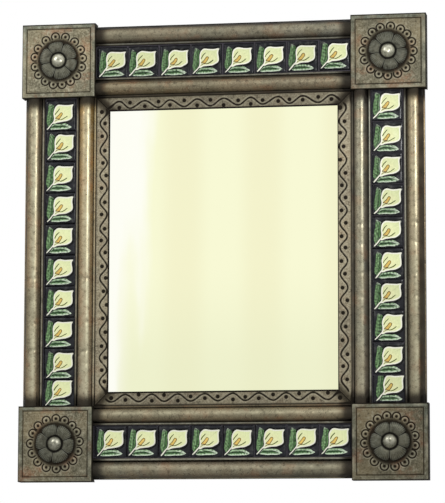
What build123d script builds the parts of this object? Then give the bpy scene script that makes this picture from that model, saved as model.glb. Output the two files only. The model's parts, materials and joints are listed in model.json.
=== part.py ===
from build123d import *
import os
from math import cos, radians, sin

# Tin-framed wall mirror: four moulded rails with rows of glazed tiles, four box
# corner caps with rosettes, a mitred liner round the glass, and two hanging rings.
# Millimetres. +Z is up, the front faces -Y. The origin is the middle of the footprint,
# at the level of the bottom caps' lower edges.

# ---- Sheet metal -------------------------------------------------------------------
sheet = 0.6                 # thickness of every tin sheet
recess = 3.8                # from the wall to the back plates, room for the rings
return_flange = 8.0         # side walls' folded edge, which lies on the wall

# ---- Tiles and glass ---------------------------------------------------------------
tile_size = 49.6
tile_thickness = 6.0
tile_edge_radius = 0.8
tiles_across = 8            # in the top and the bottom rail
tiles_up = 9                # whole tiles in each side rail, with a cut one below them
cut_tile_height = 44.4      # height left of the cut tile
seam_across = 2.9           # grout seam between neighbours, top and bottom rails
seam_up = 1.4               # grout seam between neighbours, side rails
row_gap = 1.9               # grout between the upper caps and the side rails' first tiles
tile_margin = 1.7           # grout between the tiles and the channel's walls
seam_drop = 2.0             # grout's surface below the tiles' faces
tile_play = 0.05            # between a tile and its seat in the grout
bed_thickness = 1.6         # grout under the tiles
glass_thickness = 3.0
card_thickness = 2.6

# ---- Rail's section, measured outward from the inner wall ---------------------------
lip_width = 3.0             # flat lip beside the liner
lip_rise = 3.0              # lip above the liner's face
inner_groove = 1.0          # from the lip to the inner moulding
inner_bead = 12.0           # radius of the inner half-round
inner_bead_rise = 1.0       # its centre above the liner's face
inner_rim = 3.4             # rolled rim between moulding and tiles
outer_rim = 4.0
rim_rise = 1.0              # rims above the tiles' faces
outer_groove = 1.6
outer_bead = 13.0           # radius of the outer half-round
outer_bead_drop = 0.5       # its centre below the liner's face
ledge = 2.0                 # from the outer half-round to the side wall
tile_rise = 8.0             # tiles' faces above the liner's face

# ---- Liner -------------------------------------------------------------------------
liner_width = 23.1          # from the rails' inner walls to the glass's visible edge
glass_play = 1.5            # round the glass, inside the rails

# ---- Corner caps, rosettes and dome nails -------------------------------------------
cap_overhang = 4.0          # cap beyond the rails' side wall
cap_rise = 16.0             # cap's face above the liner's face
cap_border = 7.0            # sloping border outside the score line
cap_border_drop = 1.2
score_width = 1.6
score_depth = 0.7
rosette_radius = 31.0
rosette_petals = 6
rosette_rise = 3.4          # petals' crown above the cap's face
rosette_hub = 13.6          # radius of the flat middle
petal_gap = 1.4             # slit between neighbouring petals
petal_corner = 4.0
rosette_turns = {"top_left": 12.0, "top_right": 10.0, "bottom_left": 20.5, "bottom_right": 30.0}
stud_radius = 12.2
stud_rise = 8.0             # dome's height
stud_wall = 0.8
shank_radius = 1.5
shank_play = 0.05
shank_tail = 3.0            # shank behind its washer
washer_radius = 6.0
washer_thickness = 1.0

# ---- Back cover and its tabs --------------------------------------------------------
cover_overlap = 12.0        # cover over the back plates
tab_width = 14.0
tab_foot = 9.0              # tab's length on the back plate
tab_tongue = 7.0            # tab's length over the cover
tab_play = 0.2              # between the foot's bend and the cover's edge
tab_step_across = 126.0     # from the middle of the top and bottom rails to their tabs
tab_step_up = 151.6         # the same on the side rails, which have a middle tab too

# ---- Hanging rings ------------------------------------------------------------------
ring_inset = 70.0           # from the ends of the top rail
ring_offset = 68.0          # pivot above the top rail's inner wall
wire_radius = 1.1
ring_width = 28.0
ring_foot_width = 20.0      # width at the far end
ring_length = 32.0
ring_corner = 5.0
knuckle_play = 0.06         # strap's knuckle round the wire
strap_width = 12.0
strap_tail = 13.0
rivet_radius = 1.2
rivet_play = 0.05
rivet_head_radius = 2.2
rivet_head_height = 0.8
rivet_spacing = 6.0

# ---- Heights above the wall, and sizes that follow ----------------------------------
plate_front = recess + sheet
card_back = recess
glass_back = card_back + card_thickness
liner_back = glass_back + glass_thickness
liner_face = liner_back + sheet
lip_face = liner_face + lip_rise
tile_face = liner_face + tile_rise
tile_back = tile_face - tile_thickness
tray_floor = tile_back - bed_thickness
rim_crown = tile_face + rim_rise
cap_face = liner_face + cap_rise
petal_seat = cap_face + sheet
petal_crown = cap_face + rosette_rise
stud_crown = petal_seat + stud_rise
stud_bow = (stud_radius**2 + stud_rise**2) / (2 * stud_rise)
knuckle_radius = wire_radius + knuckle_play + sheet

pitch_across = tile_size + seam_across
pitch_up = tile_size + seam_up
inner_width = tiles_across * pitch_across
inner_height = row_gap + tiles_up * pitch_up + cut_tile_height
channel_width = tile_size + 2 * tile_margin

inner_bead_start = lip_width + inner_groove
inner_foot = inner_bead_start + 2 * inner_bead
channel_start = inner_foot + inner_rim
channel_end = channel_start + channel_width
channel_middle = (channel_start + channel_end) / 2
outer_foot = channel_end + outer_rim
outer_bead_start = outer_foot + outer_groove
rail_width = outer_bead_start + 2 * outer_bead + ledge
cap_size = rail_width + cap_overhang

overall_height = inner_height + 2 * cap_size
overall_depth = stud_crown

# The wall's plane, seen from the front: local x is +X, local y is +Z, and the local
# normal points at the viewer.
wall = Plane(origin=(0, overall_depth / 2, overall_height / 2), x_dir=(1, 0, 0), z_dir=(0, -1, 0))

# Each side of the frame: the direction that points outward across its rail, as an angle
# in the wall's plane, half the inner opening in that direction, and the rail's length.
sides = {
    "top": {"turn": 90, "inset": inner_height / 2, "length": inner_width},
    "right": {"turn": 0, "inset": inner_width / 2, "length": inner_height},
    "bottom": {"turn": 270, "inset": inner_height / 2, "length": inner_width},
    "left": {"turn": 180, "inset": inner_width / 2, "length": inner_height},
}

# Each corner: its signs along X and Z.
corners = {
    "top_left": (-1, 1),
    "top_right": (1, 1),
    "bottom_left": (-1, -1),
    "bottom_right": (1, -1),
}

os.makedirs("parts", exist_ok=True)


def save(piece, name):
    piece.label = name
    export_step(piece, f"parts/{name}.step")


# A point of the wall's plane that lies out beyond a side's inner wall and along its rail.
def on_side(side, out, along):
    turn = radians(side["turn"])
    reach = side["inset"] + out
    return (reach * cos(turn) + along * sin(turn), reach * sin(turn) - along * cos(turn))


# The plane of a rail's section, at the rail's start: local x points outward across the
# rail from its inner wall, local y at the viewer, and the rail runs along the normal.
def section_plane(side):
    start = on_side(side, 0, -side["length"] / 2)
    outward = wall.x_dir * cos(radians(side["turn"])) + wall.y_dir * sin(radians(side["turn"]))
    return Plane(origin=wall.from_local_coords((*start, 0)), x_dir=outward, z_dir=outward.cross(wall.z_dir))


def corner_spot(corner):
    sign_x, sign_z = corners[corner]
    return (sign_x * (inner_width + cap_size) / 2, sign_z * (inner_height + cap_size) / 2)


# Inner moulding: wall beside the glass, flat lip, groove, half-round and foot, all one sheet.
inner_bead_centre = liner_face + inner_bead_rise
for name, side in sides.items():
    with BuildPart() as inner_moulding:
        with BuildSketch(section_plane(side)):
            with BuildLine():
                Polyline(
                    (0, recess),
                    (0, lip_face),
                    (lip_width, lip_face),
                    (inner_bead_start, inner_bead_centre),
                )
                ThreePointArc(
                    (inner_bead_start, inner_bead_centre),
                    (inner_bead_start + inner_bead, inner_bead_centre + inner_bead),
                    (inner_foot, inner_bead_centre),
                )
                Polyline((inner_foot, inner_bead_centre), (inner_foot, recess), (0, recess))
            make_face()
            offset(amount=-sheet, mode=Mode.SUBTRACT)
            with Locations((inner_foot / 2, recess + sheet / 2)):
                Rectangle(inner_foot, sheet, mode=Mode.SUBTRACT)
        extrude(amount=side["length"])
    save(inner_moulding.part, f"inner_moulding_{name}")

# Tile tray: a channel whose walls are rolled over into two rims that stand on the back plate.
inner_rim_spring = rim_crown - inner_rim / 2
outer_rim_spring = rim_crown - outer_rim / 2
for name, side in sides.items():
    with BuildPart() as tile_tray:
        with BuildSketch(section_plane(side)):
            with BuildLine():
                Line((inner_foot, recess), (inner_foot, inner_rim_spring))
                ThreePointArc(
                    (inner_foot, inner_rim_spring),
                    (inner_foot + inner_rim / 2, rim_crown),
                    (channel_start, inner_rim_spring),
                )
                Polyline(
                    (channel_start, inner_rim_spring),
                    (channel_start, tray_floor),
                    (channel_end, tray_floor),
                    (channel_end, outer_rim_spring),
                )
                ThreePointArc(
                    (channel_end, outer_rim_spring),
                    (channel_end + outer_rim / 2, rim_crown),
                    (outer_foot, outer_rim_spring),
                )
                Polyline((outer_foot, outer_rim_spring), (outer_foot, recess), (inner_foot, recess))
            make_face()
            offset(amount=-sheet, mode=Mode.SUBTRACT)
            with Locations((channel_middle, recess + sheet / 2)):
                Rectangle(outer_foot, sheet, mode=Mode.SUBTRACT)
        extrude(amount=side["length"])
    save(tile_tray.part, f"tile_tray_{name}")

# Outer moulding: foot, groove, half-round, ledge, side wall and the edge folded in on the wall.
outer_bead_centre = liner_face - outer_bead_drop
outer_bead_end = outer_bead_start + 2 * outer_bead
for name, side in sides.items():
    with BuildPart() as outer_moulding:
        with BuildSketch(section_plane(side)):
            with BuildLine():
                Polyline(
                    (outer_foot, 0),
                    (outer_foot, outer_bead_centre),
                    (outer_bead_start, outer_bead_centre),
                )
                ThreePointArc(
                    (outer_bead_start, outer_bead_centre),
                    (outer_bead_start + outer_bead, outer_bead_centre + outer_bead),
                    (outer_bead_end, outer_bead_centre),
                )
                Polyline(
                    (outer_bead_end, outer_bead_centre),
                    (rail_width, outer_bead_centre),
                    (rail_width, 0),
                    (outer_foot, 0),
                )
            make_face()
            offset(amount=-sheet, mode=Mode.SUBTRACT)
            with Locations((outer_foot + sheet / 2, plate_front / 2)):
                Rectangle(sheet, plate_front, mode=Mode.SUBTRACT)
            with Locations(((outer_foot + rail_width - return_flange) / 2, sheet / 2)):
                Rectangle(rail_width - return_flange - outer_foot, sheet, mode=Mode.SUBTRACT)
        extrude(amount=side["length"])
    save(outer_moulding.part, f"outer_moulding_{name}")


# Each tile of a rail: its middle in the wall's plane, and its height. The side rails are
# filled with whole tiles from above, and end in a cut one that stands on the lower cap.
def tile_row(name):
    side = sides[name]
    if name in ("top", "bottom"):
        steps = [(k - (tiles_across - 1) / 2) * pitch_across for k in range(tiles_across)]
        return [(on_side(side, channel_middle, step), tile_size) for step in steps]
    across = on_side(side, channel_middle, 0)[0]
    first = (inner_height - tile_size) / 2 - row_gap
    whole = [((across, first - k * pitch_up), tile_size) for k in range(tiles_up)]
    return [*whole, ((across, (cut_tile_height - inner_height) / 2), cut_tile_height)]


# Grout: the bed in the tray and the seams, with a seat for each tile.
for name, side in sides.items():
    with BuildPart() as tile_grout:
        with BuildSketch(wall.offset(tray_floor)):
            with Locations(on_side(side, channel_middle, 0)):
                Rectangle(channel_width, side["length"], rotation=side["turn"])
        extrude(amount=bed_thickness + tile_thickness - seam_drop)
        with BuildSketch(wall.offset(tile_back)):
            for spot, height in tile_row(name):
                with Locations(spot):
                    Rectangle(tile_size + 2 * tile_play, height + 2 * tile_play)
        extrude(amount=tile_thickness, mode=Mode.SUBTRACT)
    save(tile_grout.part, f"tile_grout_{name}")

    with BuildPart() as tiles:
        with BuildSketch(wall.offset(tile_back)):
            for spot, height in tile_row(name):
                with Locations(spot):
                    Rectangle(tile_size, height)
        extrude(amount=tile_thickness)
        fillet(tiles.faces().group_by(Axis.Y)[0].edges(), radius=tile_edge_radius)
    save(tiles.part, f"tiles_{name}")

# Liner: a flat mitred strip on the glass's margin, with a flange that reaches the back plates.
for name, side in sides.items():
    half = side["length"] / 2
    with BuildPart() as liner:
        with BuildSketch(wall.offset(liner_back)):
            Polygon(
                on_side(side, 0, -half),
                on_side(side, 0, half),
                on_side(side, -liner_width, half - liner_width),
                on_side(side, -liner_width, -half + liner_width),
                align=None,
            )
        extrude(amount=sheet)
        with BuildSketch(wall.offset(plate_front)):
            Polygon(
                on_side(side, 0, -half),
                on_side(side, 0, half),
                on_side(side, -sheet, half - sheet),
                on_side(side, -sheet, -half + sheet),
                align=None,
            )
        extrude(amount=liner_back - plate_front)
    save(liner.part, f"liner_{name}")

# The glass, and the card behind it, which also fills the depth of the back plates.
with BuildPart() as mirror_glass:
    with BuildSketch(wall.offset(glass_back)):
        Rectangle(inner_width - 2 * glass_play, inner_height - 2 * glass_play)
    extrude(amount=glass_thickness)
save(mirror_glass.part, "mirror_glass")

with BuildPart() as backing_card:
    with BuildSketch(wall.offset(card_back)):
        Rectangle(inner_width - 2 * glass_play, inner_height - 2 * glass_play)
    extrude(amount=card_thickness)
save(backing_card.part, "backing_card")

# Back plates: the side ones run the full height and widen behind the caps, and the top
# and bottom ones fill the width between them.
pivot_spots = {
    "left": (ring_inset - inner_width / 2, inner_height / 2 + ring_offset),
    "right": (inner_width / 2 - ring_inset, inner_height / 2 + ring_offset),
}
ring_height = recess - knuckle_radius
rivet_drop = (strap_tail + knuckle_radius) / 2
rivet_spots = [
    (x + step * rivet_spacing / 2, z - rivet_drop) for x, z in pivot_spots.values() for step in (-1, 1)
]
for name, side in sides.items():
    with BuildPart() as back_plate:
        with BuildSketch(wall.offset(recess)):
            with Locations(on_side(side, (rail_width - sheet) / 2, 0)):
                Rectangle(rail_width - sheet, side["length"], rotation=side["turn"])
            if name in ("left", "right"):
                ends = (side["length"] + cap_size - sheet) / 2
                with Locations(
                    on_side(side, (cap_size - sheet) / 2, ends),
                    on_side(side, (cap_size - sheet) / 2, -ends),
                ):
                    Rectangle(cap_size - sheet, cap_size - sheet)
            if name == "top":
                with Locations(*rivet_spots):
                    Circle(rivet_radius + rivet_play, mode=Mode.SUBTRACT)
        extrude(amount=sheet)
    save(back_plate.part, f"back_plate_{name}")

# Back cover over the card, and the bent tabs that hold it.
cover_width = inner_width + 2 * cover_overlap
cover_height = inner_height + 2 * cover_overlap
with BuildPart() as back_cover:
    with BuildSketch(wall.offset(recess - sheet)):
        Rectangle(cover_width, cover_height)
    extrude(amount=sheet)
save(back_cover.part, "back_cover")

two_tabs = (-tab_step_across, tab_step_across)
three_tabs = (-tab_step_up, 0, tab_step_up)
tab_places = {"top": two_tabs, "bottom": two_tabs, "left": three_tabs, "right": three_tabs}
with BuildPart() as cover_tabs:
    for name, side in sides.items():
        places = tab_places[name]
        foot_start = cover_overlap + tab_play
        with BuildSketch(wall.offset(recess - sheet)):
            with Locations(*[on_side(side, foot_start + tab_foot / 2, place) for place in places]):
                Rectangle(tab_foot, tab_width, rotation=side["turn"])
        extrude(amount=sheet)
        tab_reach = tab_tongue + tab_play + sheet
        tab_middle = foot_start + sheet - tab_reach / 2
        with BuildSketch(wall.offset(recess - 2 * sheet)):
            with Locations(*[on_side(side, tab_middle, place) for place in places]):
                Rectangle(tab_reach, tab_width, rotation=side["turn"])
        extrude(amount=sheet)
save(cover_tabs.part, "cover_tabs")


# The outside of a corner cap, or its hollow: a box with a sloping border and a score line
# along it. The hollow is smaller by one sheet all round, so the cap is an even shell.
def cap_blank(spot, margin):
    width = cap_size - 2 * margin
    field = cap_size - 2 * cap_border
    score_inside = field - 2 * score_width - 2 * margin
    border_height = cap_face - cap_border_drop - margin
    with BuildPart() as blank:
        with BuildSketch(wall.offset(margin)):
            with Locations(spot):
                Rectangle(width, width)
        extrude(amount=border_height - margin)
        with BuildSketch(wall.offset(border_height)):
            with Locations(spot):
                Rectangle(width, width)
        with BuildSketch(wall.offset(cap_face - margin)):
            with Locations(spot):
                Rectangle(field, field)
        loft()
        with BuildSketch(wall.offset(cap_face - margin - score_depth)):
            with Locations(spot):
                Rectangle(field + 2 * margin, field + 2 * margin)
                Rectangle(score_inside, score_inside, mode=Mode.SUBTRACT)
        extrude(amount=score_depth, mode=Mode.SUBTRACT)
    return blank.part


# Corner caps: five-sided boxes, open behind. The two outer walls reach the wall and turn in
# on it, and the two walls that the rails butt against stop at the back plates.
for name in corners:
    spot = corner_spot(name)
    sign_x, sign_z = corners[name]
    blank = cap_blank(spot, 0)
    hollow = cap_blank(spot, sheet)
    with BuildPart() as corner_cap:
        add(blank)
        add(hollow, mode=Mode.SUBTRACT)
        plate_width = cap_size - sheet
        with BuildSketch(wall.offset(sheet)):
            with Locations((spot[0] - sign_x * sheet / 2, spot[1] - sign_z * sheet / 2)):
                Rectangle(plate_width, plate_width)
        extrude(amount=plate_front - sheet, mode=Mode.SUBTRACT)
        way_in = cap_size - return_flange
        with BuildSketch(wall):
            with Locations((spot[0] - sign_x * return_flange / 2, spot[1] - sign_z * return_flange / 2)):
                Rectangle(way_in, way_in)
        extrude(amount=sheet, mode=Mode.SUBTRACT)
        with BuildSketch(wall.offset(cap_face - sheet)):
            with Locations(spot):
                Circle(shank_radius + shank_play)
        extrude(amount=sheet, mode=Mode.SUBTRACT)
    save(corner_cap.part, f"corner_cap_{name}")


# A plane through a corner's middle in which a section can be turned about the corner's
# axis: local x points along +X and local y at the viewer.
def turning_plane(corner):
    return Plane(origin=wall.from_local_coords((*corner_spot(corner), 0)), x_dir=(1, 0, 0), z_dir=(0, 0, -1))


def turning_axis(corner):
    return Axis(turning_plane(corner).origin, wall.z_dir)


# Rosettes: a pressed sheet with a flat middle and a raised ring, slit into rounded petals.
petal_middle = (rosette_hub + rosette_radius) / 2
for name in corners:
    with BuildPart() as corner_rosette:
        with BuildSketch(turning_plane(name)):
            with BuildLine():
                Polyline(
                    (rosette_radius, petal_seat),
                    (rosette_radius + petal_gap, petal_seat),
                    (rosette_radius + petal_gap, cap_face),
                    (shank_radius + shank_play, cap_face),
                    (shank_radius + shank_play, petal_seat),
                    (rosette_hub, petal_seat),
                )
                ThreePointArc(
                    (rosette_hub, petal_seat),
                    (petal_middle, petal_crown),
                    (rosette_radius, petal_seat),
                )
            make_face()
            with BuildLine():
                Line((rosette_radius - sheet, cap_face), (rosette_hub + sheet, cap_face))
                ThreePointArc(
                    (rosette_hub + sheet, cap_face),
                    (petal_middle, petal_crown - sheet),
                    (rosette_radius - sheet, cap_face),
                )
            make_face(mode=Mode.SUBTRACT)
        revolve(axis=turning_axis(name))
        slit_start = rosette_hub + petal_gap
        slit_length = rosette_radius - slit_start
        with BuildSketch(wall.offset(cap_face)) as outline:
            with Locations(corner_spot(name)):
                Circle(rosette_radius)
                with PolarLocations(slit_start + slit_length / 2, rosette_petals, rosette_turns[name]):
                    Rectangle(slit_length + petal_gap, petal_gap, mode=Mode.SUBTRACT)
            rim_corners = outline.vertices().sort_by_distance(corner_spot(name))[-2 * rosette_petals:]
            fillet(rim_corners, radius=petal_corner)
        extrude(amount=rosette_rise, mode=Mode.INTERSECT)
    save(corner_rosette.part, f"corner_rosette_{name}")

# Dome nails: a hollow dome on the rosette's middle, with a shank through rosette and cap.
washer_back = cap_face - sheet - washer_thickness
for name in corners:
    with BuildPart() as corner_stud:
        with BuildSketch(turning_plane(name)):
            with BuildLine():
                Line((stud_radius, petal_seat), (stud_radius - stud_wall, petal_seat))
                RadiusArc((stud_radius - stud_wall, petal_seat), (0, stud_crown - stud_wall), -stud_bow)
                Line((0, stud_crown - stud_wall), (0, stud_crown))
                RadiusArc((0, stud_crown), (stud_radius, petal_seat), stud_bow)
            make_face()
        revolve(axis=turning_axis(name))
        with BuildSketch(wall.offset(washer_back - shank_tail)):
            with Locations(corner_spot(name)):
                Circle(shank_radius)
        extrude(amount=stud_crown - stud_wall / 2 - washer_back + shank_tail)
    save(corner_stud.part, f"corner_stud_{name}")

with BuildPart() as stud_washers:
    with BuildSketch(wall.offset(washer_back)):
        with Locations(*[corner_spot(name) for name in corners]):
            Circle(washer_radius)
            Circle(shank_radius + shank_play, mode=Mode.SUBTRACT)
    extrude(amount=washer_thickness)
save(stud_washers.part, "stud_washers")

# Hangers: a strap folded round the ring's bar, riveted to the top back plate, and a wire
# ring that hangs from it and turns about the bar.
for name, spot in pivot_spots.items():
    pivot = wall.from_local_coords((*spot, ring_height))
    with BuildPart() as hanger_strap:
        with BuildSketch(Plane(origin=pivot, x_dir=(0, 0, 1), z_dir=(1, 0, 0))):
            Circle(knuckle_radius)
            with Locations((-strap_tail / 2, knuckle_radius - sheet / 2)):
                Rectangle(strap_tail, sheet)
            Circle(wire_radius + knuckle_play, mode=Mode.SUBTRACT)
        extrude(amount=strap_width / 2, both=True)
        with BuildSketch(wall.offset(recess - sheet)):
            with Locations(*rivet_spots):
                Circle(rivet_radius + rivet_play)
        extrude(amount=sheet, mode=Mode.SUBTRACT)
    save(hanger_strap.part, f"hanger_strap_{name}")

    with BuildPart() as hanging_ring:
        with BuildLine(Plane(origin=pivot, x_dir=(1, 0, 0), z_dir=(0, -1, 0))) as wire:
            FilletPolyline(
                (ring_width / 2, 0),
                (ring_foot_width / 2, -ring_length),
                (-ring_foot_width / 2, -ring_length),
                (-ring_width / 2, 0),
                radius=ring_corner,
                close=True,
            )
        with BuildSketch(Plane(origin=wire.wire() @ 0, z_dir=wire.wire() % 0)):
            Circle(wire_radius)
        sweep(path=wire.wire())
    save(hanging_ring.part, f"hanging_ring_{name}")

with BuildPart() as hanger_rivets:
    with BuildSketch(wall.offset(recess - sheet - rivet_head_height)):
        with Locations(*rivet_spots):
            Circle(rivet_head_radius)
    extrude(amount=rivet_head_height)
    with BuildSketch(wall.offset(plate_front)):
        with Locations(*rivet_spots):
            Circle(rivet_head_radius)
    extrude(amount=rivet_head_height)
    with BuildSketch(wall.offset(recess - sheet)):
        with Locations(*rivet_spots):
            Circle(rivet_radius)
    extrude(amount=2 * sheet)
save(hanger_rivets.part, "hanger_rivets")
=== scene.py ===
import json
import bmesh
import bpy
import numpy as np
from math import pi, radians
from mathutils import Euler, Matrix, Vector

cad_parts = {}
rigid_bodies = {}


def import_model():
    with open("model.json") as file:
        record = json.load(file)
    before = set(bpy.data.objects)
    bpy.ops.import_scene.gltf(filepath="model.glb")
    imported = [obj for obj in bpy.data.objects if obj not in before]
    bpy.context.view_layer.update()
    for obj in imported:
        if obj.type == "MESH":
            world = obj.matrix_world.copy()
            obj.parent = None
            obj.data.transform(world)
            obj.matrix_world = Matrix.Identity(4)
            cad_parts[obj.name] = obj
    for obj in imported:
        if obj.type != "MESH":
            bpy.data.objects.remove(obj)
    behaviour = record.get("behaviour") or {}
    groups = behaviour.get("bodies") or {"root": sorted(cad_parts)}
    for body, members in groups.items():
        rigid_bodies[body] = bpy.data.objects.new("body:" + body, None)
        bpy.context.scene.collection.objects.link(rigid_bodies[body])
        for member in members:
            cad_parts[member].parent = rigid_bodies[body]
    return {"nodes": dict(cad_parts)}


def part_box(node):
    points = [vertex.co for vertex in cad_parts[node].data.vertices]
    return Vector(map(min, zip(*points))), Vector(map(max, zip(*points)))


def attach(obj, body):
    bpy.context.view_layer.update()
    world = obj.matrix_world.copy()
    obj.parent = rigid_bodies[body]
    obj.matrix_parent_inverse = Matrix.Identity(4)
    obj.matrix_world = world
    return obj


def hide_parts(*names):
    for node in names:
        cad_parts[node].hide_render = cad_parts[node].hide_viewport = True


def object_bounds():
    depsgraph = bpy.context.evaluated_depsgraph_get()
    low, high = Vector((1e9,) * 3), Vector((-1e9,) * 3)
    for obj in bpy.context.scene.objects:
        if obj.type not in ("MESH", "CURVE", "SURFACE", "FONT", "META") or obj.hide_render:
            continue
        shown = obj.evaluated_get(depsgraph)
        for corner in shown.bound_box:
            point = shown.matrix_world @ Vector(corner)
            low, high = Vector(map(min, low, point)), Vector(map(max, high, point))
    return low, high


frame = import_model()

# Heights are millimetres in front of the wall. Across and up are millimetres from the
# middle of the frame, seen from the front.
mm = 0.001
cadLow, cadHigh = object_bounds()
wallY = cadHigh.y
middleZ = (cadLow.z + cadHigh.z) / 2
for name in ("Cube", "Camera", "Light"):
    if name in bpy.data.objects:
        bpy.data.objects.remove(bpy.data.objects[name])


def place(across, up, height):
    # x = across, y = wall - height, z = middle + up
    across, up, height = np.broadcast_arrays(across, up, height)
    return np.stack([across * mm, wallY - height * mm, middleZ + up * mm], axis=-1)


def nodeBox(name):
    # a node's box as (across, up, height) of its low and high corners, in millimetres
    low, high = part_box(name)
    return (
        np.array([low.x / mm, (low.z - middleZ) / mm, (wallY - high.y) / mm]),
        np.array([high.x / mm, (high.z - middleZ) / mm, (wallY - low.y) / mm]),
    )


# Shapes

swellWaves, swellStretch = 8, 1.8


def swell(a, b, size, seed):
    # mean of some sines sin(w (a cos t + b sin t) + p), stretched to about -1 to 1
    dice = np.random.default_rng(seed)
    turn, phase = dice.uniform(0, 2 * pi, swellWaves), dice.uniform(0, 2 * pi, swellWaves)
    wave = 2 * pi / (size * dice.uniform(0.7, 1.5, swellWaves))
    a, b = np.broadcast_arrays(np.asarray(a, float), np.asarray(b, float))
    run = a[..., None] * np.cos(turn) + b[..., None] * np.sin(turn)
    return np.sin(run * wave + phase).mean(-1) * swellStretch


def bell(distance, width):
    # exp(-(d / w)^2)
    return np.exp(-((distance / width) ** 2))


def soft(value, low, high):
    # 3 t^2 - 2 t^3 with t = (value - low) / (high - low), held between 0 and 1
    t = np.clip((value - low) / (high - low), 0, 1)
    return t * t * (3 - 2 * t)


def curveThrough(points, count, closed=False):
    # Catmull-Rom spline: (2 b + (c - a) t + (2 a - 5 b + 4 c - d) t^2 + (3 b - a - 3 c + d) t^3) / 2
    points = np.array(points, float)
    last = len(points) if closed else len(points) - 1
    at = np.linspace(0, last, count, endpoint=not closed)
    step = np.minimum(at.astype(int), last - 1)
    t = (at - step)[:, None]
    picks = [step + k for k in (-1, 0, 1, 2)]
    a, b, c, d = [points[pick % len(points) if closed else np.clip(pick, 0, last)] for pick in picks]
    return (2 * b + (c - a) * t + (2 * a - 5 * b + 4 * c - d) * t**2 + (3 * b - a - 3 * c + d) * t**3) / 2


def shell(top, under=None, wrap=False, **marks):
    # a closed skin: one grid in front, one behind, and rims along the open borders. Without a grid behind,
    # a wrapped grid closes on itself. The marks are numbers or grids: the dark mark is soot in the hollows
    # and painted shade, the pale mark is rubbed tin and painted highlight, and the paint mark is colour that
    # on the tin also holds painted light.
    return {"top": top, "under": under, "wrap": wrap, "marks": marks}


def shellFaces(rows, columns, wrap, single):
    # quads between neighbouring points, the same reversed for the grid behind, and one row round each border
    index = np.arange(rows * columns).reshape(rows, columns)
    if wrap:
        index = np.concatenate([index, index[:, :1]], axis=1)
    front = np.stack([index[:-1, :-1], index[1:, :-1], index[1:, 1:], index[:-1, 1:]], -1).reshape(-1, 4)
    if single:
        return front
    count = rows * columns
    borders = [index[0], index[-1]] + ([] if wrap else [index[:, 0], index[:, -1]])
    rims = [np.stack([line[:-1], line[1:], line[1:] + count, line[:-1] + count], -1) for line in borders]
    return np.concatenate([front, front[:, ::-1] + count] + rims)


blankMarks = {"soot": 0.0, "rub": 0.0, "paint": np.ones(3)}
weldWithin, shortestEdge = 2e-6, 1e-7      # metres


def makePiece(name, shells, material, slotName, *replaced, sharp=38):
    # one mesh of all the shells, with the marks as attributes. Edges over the sharp angle stay crisp.
    points, faces, start = [], [], 0
    marks = {key: [] for key in blankMarks}
    for item in shells:
        rows, columns = item["top"].shape[:2]
        grids = [item["top"]] + ([] if item["under"] is None else [item["under"]])
        faces.append(shellFaces(rows, columns, item["wrap"], len(grids) == 1) + start)
        start += len(grids) * rows * columns
        points += [grid.reshape(-1, 3) for grid in grids]
        for key, blank in blankMarks.items():
            wide = np.shape(blank)
            values = np.broadcast_to(item["marks"].get(key, blank), (rows, columns) + wide)
            marks[key] += [values.reshape((-1,) + wide)] * len(grids)
    points, faces = np.concatenate(points), np.concatenate(faces)
    mesh = bpy.data.meshes.new(name)
    mesh.vertices.add(len(points))
    mesh.vertices.foreach_set("co", points.astype(np.float32).ravel())
    mesh.loops.add(faces.size)
    mesh.loops.foreach_set("vertex_index", faces.astype(np.int32).ravel())
    mesh.polygons.add(len(faces))
    mesh.polygons.foreach_set("loop_start", np.arange(0, faces.size, 4, dtype=np.int32))
    for key, grids in marks.items():
        values = np.concatenate(grids)
        if key == "paint":
            colours = np.concatenate([values, np.ones((len(values), 1))], axis=1)
            mesh.attributes.new(key, "FLOAT_COLOR", "POINT").data.foreach_set("color", colours.ravel())
        else:
            mesh.attributes.new(key, "FLOAT", "POINT").data.foreach_set("value", values.ravel())
    mesh.update(calc_edges=True)
    work = bmesh.new()
    work.from_mesh(mesh)
    bmesh.ops.remove_doubles(work, verts=work.verts, dist=weldWithin)
    bmesh.ops.dissolve_degenerate(work, edges=work.edges, dist=shortestEdge)
    bmesh.ops.recalc_face_normals(work, faces=work.faces)
    work.to_mesh(mesh)
    work.free()
    mesh.shade_smooth()
    mesh.set_sharp_from_angle(angle=radians(sharp))
    mesh.materials.append(material)
    piece = bpy.data.objects.new(name, mesh)
    bpy.context.scene.collection.objects.link(piece)
    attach(piece, "frame")
    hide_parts(*replaced)


# Finishes

def paint(red, green, blue):
    # display colour 0 to 255 to linear, with the usual 2.4 power curve
    c = np.array([red, green, blue]) / 255
    return np.where(c <= 0.04045, c / 12.92, ((c + 0.055) / 1.055) ** 2.4)


def feed(tree, socket, value):
    # link the socket, or set it: a colour gets an alpha of 1
    if isinstance(value, bpy.types.NodeSocket):
        tree.links.new(value, socket)
    elif isinstance(value, np.ndarray):
        socket.default_value = (*value, 1)
    else:
        socket.default_value = value


def startMaterial(name, **sockets):
    # a material whose shader has the given constants
    material = bpy.data.materials.new(name)
    material.use_nodes = True
    tree = material.node_tree
    shader = tree.nodes["Principled BSDF"]
    for key, value in sockets.items():
        feed(tree, shader.inputs[key.replace("_", " ")], value)
    return material, tree, shader


def addNode(tree, kind, inputs=None, **settings):
    # a node with its settings made and its inputs fed
    made = tree.nodes.new(kind)
    for key, value in settings.items():
        setattr(made, key, value)
    for key, value in (inputs or {}).items():
        feed(tree, made.inputs[key], value)
    return made


def noise(tree, size, detail=3, rough=0.5, stretch=(1, 1, 1)):
    # size is the width of one blotch in millimetres
    spot = addNode(tree, "ShaderNodeTexCoord").outputs["Object"]
    spot = addNode(tree, "ShaderNodeMapping", {"Vector": spot, "Scale": stretch}).outputs[0]
    inputs = {"Vector": spot, "Scale": 1 / (size * mm), "Detail": detail, "Roughness": rough}
    return addNode(tree, "ShaderNodeTexNoise", inputs).outputs["Fac"]


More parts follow.
